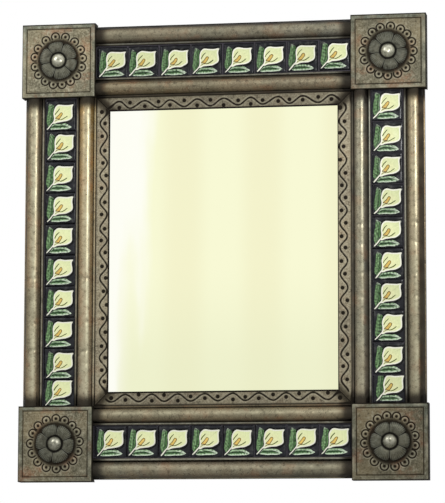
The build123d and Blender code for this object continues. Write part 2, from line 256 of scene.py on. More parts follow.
def span(tree, value, low, high, outLow=0.0, outHigh=1.0):
    # outLow + (outHigh - outLow) (3 t^2 - 2 t^3), with t = (value - low) / (high - low) held between 0 and 1
    inputs = {"Value": value, "From Min": low, "From Max": high, "To Min": outLow, "To Max": outHigh}
    return addNode(tree, "ShaderNodeMapRange", inputs, interpolation_type="SMOOTHSTEP").outputs[0]


def maths(tree, operation, first, second=0.0):
    # the named operation on one or two numbers
    return addNode(tree, "ShaderNodeMath", {0: first, 1: second}, operation=operation).outputs[0]


def mixColour(tree, share, first, second, blend="MIX"):
    # first (1 - share) + share times the blend of both
    inputs = {0: share, 6: first, 7: second}
    return addNode(tree, "ShaderNodeMix", inputs, data_type="RGBA", blend_type=blend).outputs[2]


def layered(tree, colour, *layers):
    # each layer is (share, colour), and lies over those before it
    for share, above in layers:
        colour = mixColour(tree, share, colour, above)
    return colour


def attribute(tree, name, output="Fac"):
    # a mark that the mesh carries
    return addNode(tree, "ShaderNodeAttribute", attribute_name=name).outputs[output]


def drive(tree, shader, bumps, **sockets):
    # stack the bumps, each of which is (height, millimetres of relief), and link the named sockets
    normal = None
    for height, relief in bumps:
        inputs = {"Height": height, "Distance": relief * mm, "Strength": 1.0}
        if normal is not None:
            inputs["Normal"] = normal
        normal = addNode(tree, "ShaderNodeBump", inputs).outputs[0]
    for key, value in {"Normal": normal, **sockets}.items():
        tree.links.new(value, shader.inputs[key.replace("_", " ")])


tinCommon = {
    "drift": (90, 2, 0.5), "blotch": (34, 4, 0.6), "mottle": (6.5, 5, 0.65), "sooting": 0.96, "mottling": 0.5,
    "metallic": 0.35, "shine": 0.12, "sheen": (0.6, 0.55, 0.48, 1), "sootRange": (0.06, 0.95),
    "blackRange": (1.2, 1.5), "ragged": 0.16, "sootRough": 0.25, "relief": (0.12, 0.05),
}
tinLooks = {
    "cap": {
        "base": paint(144, 132, 104), "second": paint(108, 104, 86), "warm": paint(146, 106, 80),
        "pale": paint(186, 180, 156), "dark": paint(22, 17, 12), "stain": 0.65, "speckle": 0.6,
        "rubbing": 0.6, "mottling": 0.45, "metallic": 0.3, "rough": 0.48, "grain": (2.6, 1.8),
    },
    "moulding": {
        "base": paint(121, 108, 88), "second": paint(101, 94, 78), "warm": paint(132, 92, 66),
        "pale": paint(210, 205, 174), "dark": paint(40, 37, 32), "stain": 0.45, "speckle": 0.06,
        "rubbing": 0.75, "sooting": 0.93, "rough": 0.3, "grain": (1.6, 1.2),
    },
    "tray": {
        "base": paint(108, 106, 94), "second": paint(96, 95, 86), "warm": paint(112, 96, 78),
        "pale": paint(186, 185, 168), "dark": paint(38, 34, 29), "stain": 0.3, "speckle": 0.2,
        "rubbing": 0.75, "sooting": 0.93, "rough": 0.36, "grain": (1.3, 1),
    },
    "liner": {
        "base": paint(128, 119, 98), "second": paint(106, 98, 82), "warm": paint(122, 92, 68),
        "pale": paint(186, 180, 156), "dark": paint(18, 14, 10), "stain": 0.35, "speckle": 0.3,
        "rubbing": 0.5, "sooting": 0.97, "mottling": 0.65, "metallic": 0.3, "rough": 0.46, "grain": (2, 2.2),
    },
    "rosette": {
        "base": paint(88, 88, 76), "second": paint(98, 96, 80), "warm": paint(94, 84, 68),
        "pale": paint(150, 152, 138), "dark": paint(14, 13, 11), "stain": 0.3, "speckle": 0.45,
        "rubbing": 0.6, "mottling": 0.6, "rough": 0.42, "grain": (2.4, 1.8),
    },
    "stud": {
        "base": paint(170, 170, 148), "second": paint(154, 154, 134), "warm": paint(146, 136, 108),
        "pale": paint(236, 234, 214), "dark": paint(20, 18, 15), "stain": 0.3, "speckle": 0.5,
        "rubbing": 0.8, "metallic": 0.6, "shine": 0.3, "rough": 0.3, "grain": (1.3, 1),
    },
}


def tinFinish(name, look):
    # antiqued tin: warm stains, pale specks and dark mottling, all tinted by the paint mark, which also holds
    # painted light. Over that, pale metal where the rub mark says: rubbed crowns and painted highlights.
    # Then dark where the soot mark says: soot in the hollows and painted shade.
    shine = {"Specular_IOR_Level": look["shine"], "Specular_Tint": look["sheen"]}
    material, tree, shader = startMaterial(name, **shine)
    drift, blotch, mottle = [noise(tree, *look[key]) for key in ("drift", "blotch", "mottle")]
    grainSize, grainShare = look["grain"]
    grain = noise(tree, grainSize, 3, 0.6)
    colour = layered(
        tree, look["base"],
        (span(tree, drift, 0.35, 0.65), look["second"]),
        (span(tree, blotch, 0.5, 0.68, 0, look["stain"]), look["warm"]),
        (span(tree, mottle, 0.5, 0.72, 0, look["speckle"]), look["pale"]),
        (span(tree, mottle, 0.47, 0.3, 0, look["mottling"]), look["dark"]),
        (span(tree, grain, 0.5, 0.7, 0, 0.2 * grainShare), look["pale"]),
        (span(tree, grain, 0.48, 0.3, 0, 0.25 * grainShare), look["dark"]),
    )
    colour = mixColour(tree, 1.0, colour, attribute(tree, "paint", "Color"), "MULTIPLY")
    rubbed = maths(tree, "MULTIPLY", attribute(tree, "rub"), span(tree, mottle, 0.25, 0.6, 0.45, 1.0))
    edge = span(tree, grain, 0.2, 0.8, -look["ragged"], look["ragged"])
    soot, sooty = maths(tree, "ADD", attribute(tree, "soot"), edge), look["sootRange"]
    colour = layered(
        tree, colour,
        (maths(tree, "MULTIPLY", rubbed, look["rubbing"]), look["pale"]),
        (span(tree, soot, *sooty, 0, look["sooting"]), look["dark"]),
        (span(tree, soot, *look["blackRange"]), look["dark"] * 0.2),
    )
    gloss = span(tree, mottle, 0.3, 0.7, look["rough"] - 0.07, look["rough"] + 0.1)
    drive(
        tree, shader, zip((mottle, grain), look["relief"]), Base_Color=colour,
        Metallic=span(tree, soot, *sooty, look["metallic"], 0),
        Roughness=maths(tree, "ADD", gloss, span(tree, soot, *sooty, 0, look["sootRough"])),
    )
    return material


tin = {key: tinFinish(f"{key}Tin", {**tinCommon, **look}) for key, look in tinLooks.items()}

glazeLook = {
    "shine": 0.15, "brush": (2.6, 3, 0.6, (1, 1, 0.5)), "pool": (9, 3, 0.5), "rough": (0.14, 0.28),
    "streak": paint(40, 44, 34), "streakShare": 0.08, "milk": paint(250, 250, 235), "milkShare": 0.04,
}


def glazeFinish(look):
    # hand-painted glaze: the paint mark, brush streaks, milky pools and a glossy skin
    material, tree, shader = startMaterial("paintedGlaze", Specular_IOR_Level=look["shine"])
    brush, pool = noise(tree, *look["brush"]), noise(tree, *look["pool"])
    streaks = span(tree, brush, 0.3, 0.7, 0, look["streakShare"])
    milky = span(tree, pool, 0.5, 0.75, 0, look["milkShare"])
    colour = mixColour(tree, streaks, attribute(tree, "paint", "Color"), look["streak"], "MULTIPLY")
    colour = mixColour(tree, milky, colour, look["milk"], "SCREEN")
    rough = span(tree, pool, 0.3, 0.7, *look["rough"])
    drive(tree, shader, [(pool, 0.12), (brush, 0.03)], Base_Color=colour, Roughness=rough)
    return material


mirrorLook = {
    "bandPitch": 0.131, "base": paint(248, 249, 213), "band": paint(243, 241, 202), "bandShare": 0.8,
    "footRange": (0.36, 0.16), "foot": paint(229, 233, 197), "footShare": 0.55,
    "clearRange": (-0.135, -0.185), "clear": paint(255, 255, 248), "clearShare": 0.9,
    "lean": 0.05, "waver": 0.02,
}


def mirrorFinish(look):
    # silvering with a faint yellow cast, and painted reflections on it: upright bands cos(2 pi x / pitch) and
    # a clear strip at the left. It is also darker towards the foot.
    material, tree, shader = startMaterial("silvering", Metallic=1.0, Roughness=0.035)
    spot = addNode(tree, "ShaderNodeTexCoord").outputs["Object"]
    x, y, z = addNode(tree, "ShaderNodeSeparateXYZ", {0: spot}).outputs
    waver = span(tree, noise(tree, 60, 3, 0.5, (1, 1, 0.2)), 0.3, 0.7, -look["waver"], look["waver"])
    slope = maths(tree, "SUBTRACT", x, maths(tree, "MULTIPLY", z, look["lean"]))
    slope = maths(tree, "ADD", slope, waver)
    bands = maths(tree, "COSINE", maths(tree, "MULTIPLY", x, 2 * pi / look["bandPitch"]))
    colour = layered(
        tree, look["base"],
        (span(tree, bands, 0.8, -1.0, 0, look["bandShare"]), look["band"]),
        (span(tree, z, *look["footRange"], 0, look["footShare"]), look["foot"]),
        (span(tree, slope, *look["clearRange"], 0, look["clearShare"]), look["clear"]),
    )
    drive(tree, shader, [(noise(tree, 120, 2, 0.4), 0.02)], Base_Color=colour)
    return material


plainLooks = {      # base, dull patches and roughness
    "backTin": (paint(166, 163, 154), paint(146, 143, 134), 0.42),
    "coverTin": (paint(150, 148, 140), paint(134, 132, 124), 0.46),
    "strapTin": (paint(204, 202, 194), paint(178, 176, 168), 0.34),
    "ringWire": (paint(92, 90, 86), paint(72, 70, 66), 0.36),
}


def plainTinFinish(name, base, dull, rough):
    # unpolished tinplate: cloudy crystals, long scratches and rust specks
    material, tree, shader = startMaterial(name, Metallic=0.75)
    cloud, speck = noise(tree, 25, 4, 0.6), noise(tree, 4, 5, 0.7)
    streak = noise(tree, 3, 4, 0.7, (1, 1, 0.06))
    colour = layered(
        tree, base,
        (span(tree, cloud, 0.35, 0.68), dull),
        (span(tree, streak, 0.5, 0.8, 0, 0.3), paint(205, 203, 194)),
        (span(tree, speck, 0.6, 0.72, 0, 0.75), paint(112, 78, 52)),
    )
    gloss = span(tree, cloud, 0.3, 0.7, rough - 0.08, rough + 0.1)
    drive(tree, shader, [(cloud, 0.15), (streak, 0.03)], Base_Color=colour, Roughness=gloss)
    return material


def groutFinish():
    # dark plaster: sandy grain, pale dust and purple-grey washes of glaze
    material, tree, shader = startMaterial("darkGrout", Roughness=0.8)
    sand, wash = noise(tree, 0.9, 4, 0.7), noise(tree, 14, 3, 0.6)
    colour = layered(
        tree, paint(34, 31, 35),
        (span(tree, wash, 0.35, 0.65), paint(52, 48, 57)),
        (span(tree, sand, 0.45, 0.75, 0, 0.4), paint(96, 92, 98)),
    )
    drive(tree, shader, [(sand, 0.25), (wash, 0.3)], Base_Color=colour)
    return material


def cardFinish():
    # brown card: cloudy pulp and short fibres
    material, tree, shader = startMaterial("brownCard", Roughness=0.9)
    pulp, fibre = noise(tree, 30, 4, 0.6), noise(tree, 1.4, 3, 0.7, (1, 1, 0.3))
    colour = layered(
        tree, paint(150, 122, 88),
        (span(tree, pulp, 0.35, 0.65), paint(132, 104, 74)),
        (span(tree, fibre, 0.5, 0.75, 0, 0.5), paint(176, 150, 116)),
    )
    drive(tree, shader, [(fibre, 0.06)], Base_Color=colour)
    return material


glaze, silvering, grout, card = glazeFinish(glazeLook), mirrorFinish(mirrorLook), groutFinish(), cardFinish()
backTin, coverTin, strapTin, wireFinish = [plainTinFinish(name, *look) for name, look in plainLooks.items()]
print("finishes made")

# Rails

sheet = 0.6
opening = nodeBox("inner_moulding_top"), nodeBox("inner_moulding_right")
insetUp, insetAcross = opening[0][0][1], opening[1][0][0]      # inner walls from the middle
railSides = {}
for name, outward in {"top": (0, 1), "right": (1, 0), "bottom": (0, -1), "left": (-1, 0)}.items():
    inset, reach = (insetUp, insetAcross) if outward[1] else (insetAcross, insetUp)
    railSides[name] = {"outward": outward, "inset": inset, "length": 2 * reach}
rail = {
    "back": 3.8, "lip": 3.0, "lipHeight": 13.0, "grooveEnd": 4.0, "innerFoot": 28.0, "innerBead": 12.0,
    "innerMiddle": 16.0, "innerCentre": 11.0, "channel": (31.4, 84.4), "tray": 10.4, "wallTop": 16.6,
    "rimHeight": 19.0, "outerFoot": 88.4, "outerBack": 4.4, "outerBead": 13.0, "outerMiddle": 103.0,
    "outerCentre": 9.5, "ledge": 116.4, "edge": 118.0, "flange": 8.0, "step": 2.2, "sharpest": 0.6,
    "dentDeep": 0.42, "dentSize": 46.0, "creases": 7, "creaseDeep": 0.5, "creaseWide": 2.6, "creaseLean": 0.4,
    "rimDent": 0.35, "patchSize": 30.0, "endWide": 29.0, "capShadow": 1.0, "warmShift": (0.35, -0.08, -0.8),
    "sootLimit": 2.0, "rubLimit": 1.3,
}


def onRail(side, out, along, height):
    # a rail's own directions: out across it, along it, and height off the wall
    x, z = side["outward"]
    reach = side["inset"] + out
    return place(x * reach + abs(z) * along, z * reach + abs(x) * along, height)


def arc(centre, middle, radius, count):
    # centre + radius cos a and middle + radius sin a, from the inner foot over the top to the outer foot
    angle = np.radians(np.linspace(180, 0, count))
    return np.stack([centre + radius * np.cos(angle), middle + radius * np.sin(angle)], axis=-1)


def innerSkin(profile):
    # each corner moves by one sheet along the bisector of its two edges: p + t (n1 + n2) / (1 + n1.n2)
    step = np.diff(profile, axis=0)
    normal = np.stack([step[:, 1], -step[:, 0]], -1) / np.hypot(step[:, 0], step[:, 1])[:, None]
    before, after = np.vstack([normal[:1], normal]), np.vstack([normal, normal[-1:]])
    spread = 1 + (before * after).sum(-1, keepdims=True)
    return profile + sheet * (before + after) / np.maximum(spread, rail["sharpest"])


def sweepRail(name, side, profile, look, seed, slotNode):
    # profile(i) carried along the rail, pushed in by dents and creases where a bead stands proud
    length = side["length"]
    along = np.linspace(-length / 2, length / 2, int(length / rail["step"]))[None, :]
    out, height = profile[:, :1], profile[:, 1:]
    dice = np.random.default_rng(seed)
    dent = rail["dentDeep"] * (0.5 + 0.5 * swell(along, out * 2, rail["dentSize"], seed))
    for spot in dice.uniform(-0.48, 0.48, rail["creases"]) * length:
        lean = dice.uniform(-rail["creaseLean"], rail["creaseLean"]) * (out - out.mean())
        deep = rail["creaseDeep"] * dice.uniform(0.3, 1)
        dent = dent + deep * bell(along - spot - lean, rail["creaseWide"])
    low = height.min()
    proud = look["beads"][:, None] * np.clip((height - low) / (height.max() - low), 0, 1)
    pushed = height - np.clip(dent, 0, None) * proud
    inner = innerSkin(profile)
    top = onRail(side, out, along, pushed)
    under = onRail(side, inner[:, :1], along, inner[:, 1:] + pushed - height)
    patchy = 0.5 + 0.5 * swell(along, out, rail["patchSize"], seed + 1)
    # painted shadow of the corner caps: the rail darkens and loses its pale marks towards its ends
    end = soft(length / 2 - np.abs(along), rail["endWide"], 2)
    soots = look["soot"][:, None] * (0.85 + 0.3 * patchy) + rail["capShadow"] * end
    rubs = look["rub"][:, None] * (0.6 + 0.5 * patchy) * (1 - 0.7 * end)
    warmth = np.interp(along, (along.min(), along.max()), look["warmth"]) * (0.4 + 1.2 * patchy)
    # the tint is painted light that lightens or darkens the whole rail; the warmth adds warm stains
    tint = np.array(look["tint"]) * (1 + warmth[..., None] * np.array(rail["warmShift"]))
    finish = tin["tray" if name.startswith("tile_tray") else "moulding"]
    makePiece(name, [shell(top, under, soot=soots, rub=rubs, paint=tint)], finish, "moulding_tin", slotNode)


def darkAndPale(value):
    # dark mark = -v and pale mark = v, each held between 0 and its limit. The dark mark is soot and painted
    # shade, the pale one rubbed tin and painted highlight.
    value = np.asarray(value, float)
    return np.clip(-value, 0, rail["sootLimit"]), np.clip(value, 0, rail["rubLimit"])


def beadDarkAndPale(values, count):
    # the values stand at even steps from a bead's inner foot to its outer one
    aside = np.cos(np.radians(np.linspace(180, 0, count)))
    return darkAndPale(np.interp(aside, np.linspace(-1, 1, len(values)), values))


def plainPart(first, last, count, value):
    # a straight run of points, all with the same mark, that dents leave alone
    return np.linspace(first, last, count), *darkAndPale(value), 0.0


def joinMarks(*parts):
    # the parts' points one after another, then their dark marks, their pale marks and their dents likewise
    profile = np.vstack([part[0] for part in parts])
    marks = [[np.broadcast_to(part[k], len(part[0])) for part in parts] for k in (1, 2, 3)]
    return [profile] + [np.concatenate(mark) for mark in marks]


# how each rail is worn and lit: above 0 the tin is pale, rubbed and with painted highlights; below 0 it
# is dark, soot in the hollows and painted shade. The tint lightens or darkens a whole rail: painted light.
# The warmth adds warm stains.
wearAndLight = {
    "top": {
        "tint": (1.0, 1.0, 1.0), "lip": -0.8, "rims": (0.15, 0.0), "ledge": -1.4,
        "warmth": {"inner": (0.16, -0.03), "outer": (0.0, -0.2)},
        "inner": [-0.3, -0.28, 0.14, 0.22, 0.33, 0.27, -0.2, -0.84, 0.0],
        "outer": [-0.05, -0.16, 0.2, 0.25, 0.28, 0.36, 0.17, -0.7, -1.5],
    },
    "right": {
        "tint": (1.08, 1.09, 1.10), "lip": -0.55, "rims": (0.75, 0.5), "ledge": 0.1,
        "warmth": {"inner": (-0.1, -0.14), "outer": (0.08, 0.2)},
        "inner": [-0.3, 0.0, 0.32, 0.42, 0.5, 0.7, -0.35, -0.55, -0.75],
        "outer": [0.4, 0.36, 0.38, 0.52, 0.8, 0.73, -0.7, -0.69, -0.8],
    },
    "bottom": {
        "tint": (1.03, 1.02, 0.98), "lip": -0.35, "rims": (0.4, 1.3), "ledge": 0.3,
        "warmth": {"inner": (0.05, 0.05), "outer": (-0.13, -0.1)},
        "inner": [-0.67, 0.15, 0.43, 0.7, 0.37, 0.25, 0.04, -0.5, -0.7],
        "outer": [-0.06, -0.12, 0.23, 0.4, 0.46, 0.27, 0.18, -0.28, -0.55],
    },
    "left": {
        "tint": (1.40, 1.34, 1.24), "lip": 0.5, "rims": (-0.1, 0.45), "ledge": 0.1,
        "warmth": {"inner": (-0.16, 0.5), "outer": (0.0, 0.03)},
        "inner": [-0.05, -0.1, 1.6, 0.95, 0.8, 0.52, 0.2, 0.14, 0.0],
        "outer": [0.5, -0.58, 0.51, 1.3, 0.79, 0.33, 0.04, -0.4, -1.5],
    },
}
beadSteps, rimSteps = 36, 9
channelIn, channelOut = rail["channel"]
innerRim, outerRim = (channelIn - rail["innerFoot"]) / 2, (rail["outerFoot"] - channelOut) / 2


def railProfiles(used):
    # each part is its points, its dark and pale marks, and how far dents may push it in. The walls, feet and
    # channel floor are dark: soot in the hollows and painted shade.
    first, last = used["rims"]
    rims = [
        beadDarkAndPale([0.4 * first - 0.6, first, 0.4 * first - 0.6], rimSteps),
        beadDarkAndPale([-1.1, 0.2 * last - 0.3, last, 0.6 * last - 0.3], rimSteps),
    ]
    inner = [marks[1:-1] for marks in beadDarkAndPale(used["inner"], beadSteps)]
    outer = beadDarkAndPale(used["outer"], beadSteps)
    back, lip, lipHeight, foot = (rail[key] for key in ("back", "lip", "lipHeight", "innerFoot"))
    tray, wallTop, outerFoot, edge = (rail[key] for key in ("tray", "wallTop", "outerFoot", "edge"))
    innerCentre, outerCentre, dent = rail["innerCentre"], rail["outerCentre"], rail["rimDent"]
    ledge = outerCentre - 0.4
    return {
        "inner_moulding": joinMarks(
            plainPart((0, back), (0, lipHeight - 0.4), 3, -0.9),
            plainPart((0.4, lipHeight), (lip - 0.4, lipHeight), 4, used["lip"]),
            plainPart((lip, lipHeight - 0.5), (rail["grooveEnd"], innerCentre - 0.6), 3, -1),
            (arc(rail["innerMiddle"], innerCentre, rail["innerBead"], beadSteps)[1:-1], *inner, 1.0),
            plainPart((foot, innerCentre), (foot, back), 3, -1),
        ),
        "outer_moulding": joinMarks(
            plainPart((outerFoot, rail["outerBack"]), (outerFoot, outerCentre - 0.6), 3, -1),
            (arc(rail["outerMiddle"], outerCentre, rail["outerBead"], beadSteps), *outer, 1.0),
            plainPart((rail["ledge"], ledge), (edge, ledge), 3, used["ledge"]),
            plainPart((edge, outerCentre - 1), (edge, 0.0), 4, -2),
            plainPart((edge - 1, 0.0), (edge - rail["flange"], 0.0), 3, -0.8),
        ),
        "tile_tray": joinMarks(
            plainPart((foot, back), (foot, wallTop), 4, -1),
            (arc(foot + innerRim, rail["rimHeight"] - innerRim, innerRim, rimSteps), *rims[0], dent),
            plainPart((channelIn, wallTop), (channelIn, tray), 4, -1),
            plainPart((channelIn + 2, tray), (channelOut - 2, tray), 3, -0.6),
            plainPart((channelOut, tray), (channelOut, wallTop), 4, -1),
            (arc(channelOut + outerRim, rail["rimHeight"] - outerRim, outerRim, rimSteps), *rims[1], dent),
            plainPart((outerFoot, wallTop), (outerFoot, back), 4, -1),
        ),
    }


for number, (name, side) in enumerate(railSides.items()):
    used = wearAndLight[name]
    for kind, (profile, soot, rub, beads) in railProfiles(used).items():
        warmth = used["warmth"].get(kind.split("_")[0], (0, 0))
        look = {"soot": soot, "rub": rub, "beads": beads, "tint": used["tint"], "warmth": warmth}
        sweepRail(f"{kind}.tin.{name}", side, profile, look, 10 * number + len(kind), f"{kind}_{name}")
print("rails swept")

# Liner

liner = {
    "face": 10.0, "back": 9.4, "foot": 4.4, "width": 23.1, "rows": 37, "step": 0.62, "thinnest": 0.08,
    "swing": 5.8, "line": 1.4, "lineDeep": 0.42, "dot": 3.5, "dotDeep": 0.4, "ridgeOff": 2.6,
    "ridgeWide": 0.9, "ridgeHigh": 0.1, "edgeWide": 1.4, "edgeDeep": 0.22, "mitreDeep": 0.2,
    "cornerWide": 24.0, "patchSize": 7.0, "grooveSoot": (0.85, 0.7), "sootLimit": 1.1,
    # how dark each mark makes the strip: soot in the pits and the mitres, painted shadow along the edge by
    # the mirror, along the seam by the lip and in the corners
    "sooty": {"pit": 1.1, "edge": 1.05, "seam": 0.8, "mitre": 0.6, "corner": 0.7},
    "middle": {"top": (12.8, 11.2), "bottom": (12.5, 13.0), "left": (14.2, 12.0), "right": (12.0, 15.0)},
    # where each dot was struck: along the rail and out from its inner wall. The wave bends round them.
    "dots": {
        "top": [
            (-172, 17), (-154.3, 9.3), (-129.7, 15.7), (-107, 8.7), (-88, 15), (-64.3, 8), (-43, 16.7),
            (-21, 8.3), (0.7, 17.3), (24.7, 10.3), (45.3, 16.7), (64.7, 11), (90.3, 13.3), (108.7, 11),
            (130.3, 12.3), (155.7, 8.3), (177, 12.3),
        ],
        "bottom": [
            (-182, 12.7), (-158.7, 9.7), (-137, 18), (-115.3, 8), (-95.3, 17), (-72.7, 7.7), (-52, 14.3),
            (-28.7, 11.3), (-7.7, 13.7), (17, 8.7), (37, 12.7), (58.7, 10.3), (82, 16), (103, 12),
            (124, 17), (146.3, 9.3), (170.3, 17.7), (189.7, 9.7),
        ],
        "left": [
            (-212.7, 16.3), (-194.3, 12), (-174.3, 17.3), (-155.3, 11.3), (-132.7, 17.3), (-110.3, 13),
            (-88.3, 19), (-66, 13.7), (-44.3, 17.3), (-25.3, 11), (-2.7, 16.3), (17.3, 9.3), (36.3, 15),
            (60, 9.7), (80, 15), (103.3, 9.3), (124, 16.7), (144.7, 11.3), (165, 14.3), (189, 9.7),
            (210, 14.3), (229, 8.7),
        ],
        "right": [
            (-213.7, 8.7), (-192.7, 15), (-173.7, 8), (-151, 16), (-129.3, 10.7), (-107, 15), (-87, 8),
            (-66.7, 15.7), (-44.3, 11.7), (-23.7, 17.3), (-2, 10.7), (16.3, 17), (38, 10), (58.3, 17),
            (79, 10.3), (99, 16.3), (119, 10.3), (140.7, 18.7), (162.3, 13.3), (184.7, 18.7), (203.3, 11.7),
            (225.7, 18.7),
        ],
    },
    "seam": {"top": 1.7, "bottom": 4.2, "left": 1.7, "right": 4.3},
    "edge": {"top": 3.4, "bottom": 3.4, "left": 3.4, "right": 2.1},
    # painted light: how brightly each strip is lit
    "tint": {"top": 0.74, "bottom": 0.98, "left": 1.5, "right": 1.32},
    "startsInside": {"top": True, "bottom": True, "left": True, "right": False},
}


def makeLiner(name, side):
    # wave: out(t) = middle - swing cos(p), with p rising by pi from each dot to the next
    length = side["length"]
    out = np.linspace(0, 1, liner["rows"])[:, None] * liner["width"]
    half = length / 2 - out
    along = half * np.linspace(-1, 1, int(length / liner["step"]))[None, :]
    dotAlong, dotOut = np.array(liner["dots"][name]).T
    pitch = (dotAlong[-1] - dotAlong[0]) / (len(dotAlong) - 1)
    stops = np.r_[dotAlong[0] - pitch, dotAlong, dotAlong[-1] + pitch]
    bends = np.arange(-1, len(dotAlong) + 1) + (0 if liner["startsInside"][name] else 1)
    phase = pi * np.interp(along, stops, bends)
    middle = np.interp(along / length, (-0.5, 0.5), liner["middle"][name])
    slant = liner["swing"] * pi / pitch * np.sin(phase)
    off = np.abs(out - middle + liner["swing"] * np.cos(phase)) / np.sqrt(1 + slant**2)
    nearest = np.abs(along[..., None] - dotAlong).argmin(-1)
    fromDot = np.hypot(along - dotAlong[nearest], out - dotOut[nearest])
    fade = soft(length / 2 - liner["width"] - np.abs(along), -6, 0)
    groove = bell(off, liner["line"]) * fade
    ridge = bell(off - liner["ridgeOff"], liner["ridgeWide"]) * fade
    inward, toMitre = liner["width"] - liner["edge"][name], half - np.abs(along)
    marks = {
        "pit": soft(fromDot, liner["dot"] + 0.7, liner["dot"] - 1.3),
        "edge": soft(out, inward, inward + liner["edgeWide"]), "seam": soft(out, liner["seam"][name], 0.3),
        "mitre": soft(toMitre, 1.3, 0.2), "corner": soft(toMitre, liner["cornerWide"], 3),
    }
    height = liner["face"] - liner["lineDeep"] * groove - liner["ridgeHigh"] * (1 - ridge)
    for mark, deep in (("pit", "dotDeep"), ("edge", "edgeDeep"), ("mitre", "mitreDeep")):
        height = height - liner[deep] * marks[mark]
    height = np.maximum(height, liner["back"] + liner["thinnest"])
    # soot in the grooves, pits and mitres; painted shadow along the edge by the mirror, along the seam by the
    # lip and in the corners. The ridges beside the groove and the tin away from the corners are pale: painted
    # highlight.
    plainSoot, patchySoot = liner["grooveSoot"]
    patchy = 0.5 + 0.5 * swell(along, out, liner["patchSize"], len(name))
    soot = (plainSoot + patchySoot * patchy) * groove
    for mark, share in liner["sooty"].items():
        soot = soot + share * marks[mark]
    soot, rub = np.clip(soot, 0, liner["sootLimit"]), 0.6 * ridge + 0.25 * (1 - marks["corner"])
    front, behind = [onRail(side, -out, along, level) for level in (height, liner["back"] + 0 * height)]
    strip = shell(front, behind, soot=soot, rub=rub, paint=liner["tint"][name])
    reach, deep = np.array([[-1.0, 1.0]]), np.array([[liner["foot"]], [liner["back"]]])
    flange = shell(*[onRail(side, -inset, reach * (length / 2 - inset), deep) for inset in (0, sheet)])
    makePiece(f"liner.stamped.{name}", [strip, flange], tin["liner"], "liner_tin", f"liner_{name}")


for name, side in railSides.items():
    makeLiner(name, side)
print("liner stamped")

# Corner caps

cap = {
    "half": 61.0, "field": 54.0, "score": 1.7, "scoreDeep": 0.7, "drop": 1.2, "face": 26.0, "flange": 8.0,
    "plate": 4.4, "roof": 2.2, "columns": 384, "ring": 40.4, "arc": 6.5, "arcWide": 1.25, "arcDeep": 0.6,
    "facing": (138, 112), "dot": 2.2, "dotDeep": 0.5, "bossHigh": 0.35, "dent": 0.5, "dentSize": 40.0,
    "rounding": 0.25, "rosetteEdge": 32.0, "stampEdge": 48.4, "rosetteShadow": 0.72, "rosetteShadowWide": 40.0,
    "sooty": (1.05, 1.1, 0.95), "patchSize": 30.0, "borderDull": (0.24, 0.15, 0.07), "topShade": 0.45,
    "wallShade": (0.95, 0.88, 0.8, 0.7, 0.5, 0.5, 0.5, 0.5),
}
stamps = {      # where each stamp was struck, in degrees from the right, anticlockwise
    "top_left": [4, 25, 49, 74, 98, 122, 149, 170, 193, 214, 237, 258, 279, 300, 320, 343],
    "top_right": [-2, 20, 41, 60, 84, 108, 129, 156, 178, 200, 226, 248, 269, 292, 315, 337],
    "bottom_left": [5, 28, 46, 67, 88, 111, 134, 155, 179, 202, 226, 250, 274, 295, 318, 342],
    "bottom_right": [12, 35, 54, 75, 97, 119, 141, 163, 184, 207, 232, 257, 281, 305, 330, 350],
}
corners = {"top_left": (-1, 1), "top_right": (1, 1), "bottom_left": (-1, -1), "bottom_right": (1, -1)}
cornerLight = {      # painted light: how brightly the cap, the petals and the dome nail of each corner are lit
    "top_left": (1.2, 0.83, 0.84), "top_right": (0.81, 0.61, 0.75),
    "bottom_left": (1.0, 0.72, 0.48), "bottom_right": (0.68, 0.755, 0.49),
}


def cornerMiddle(name):
    # half way between the cap's sides, across and up
    low, high = nodeBox(f"corner_cap_{name}")
    return (low[0] + high[0]) / 2, (low[1] + high[1]) / 2


def placeRound(middle, reach, turn, height):
    # across = middle + r cos t, up = middle + r sin t
    return place(middle[0] + reach * np.cos(turn), middle[1] + reach * np.sin(turn), height)


def stampMarks(name, reach, t):
    # measured from the nearest stamp: a crescent that faces outward, a raised boss, a dot in its middle and
    # two lit edges
    away = (t - np.radians(stamps[name])[:, None] + pi) % (2 * pi) - pi
    aside = np.take_along_axis(away, np.abs(away).argmin(0)[None, :], 0)
    forward, sideways = reach * np.cos(aside) - cap["ring"], reach * np.sin(aside)
    fromStamp, arc = np.hypot(forward, sideways), cap["arc"]
    inField = (reach < cap["stampEdge"]) & (reach > cap["rosetteEdge"] - 1)
    facing = soft(np.degrees(np.abs(np.arctan2(sideways, forward))), *cap["facing"]) * inField
    crescent = bell(fromStamp - arc, cap["arcWide"]) * facing
    boss = soft(fromStamp, arc - 0.5, arc - 2.2) * inField
    dot = soft(fromStamp, cap["dot"] + 0.7, cap["dot"] - 0.8) * inField
    lit = (0.75 * bell(fromStamp - arc + 2.1, 0.9) + 0.6 * bell(fromStamp - arc - 2.1, 0.8)) * facing
    return crescent, boss, dot, lit


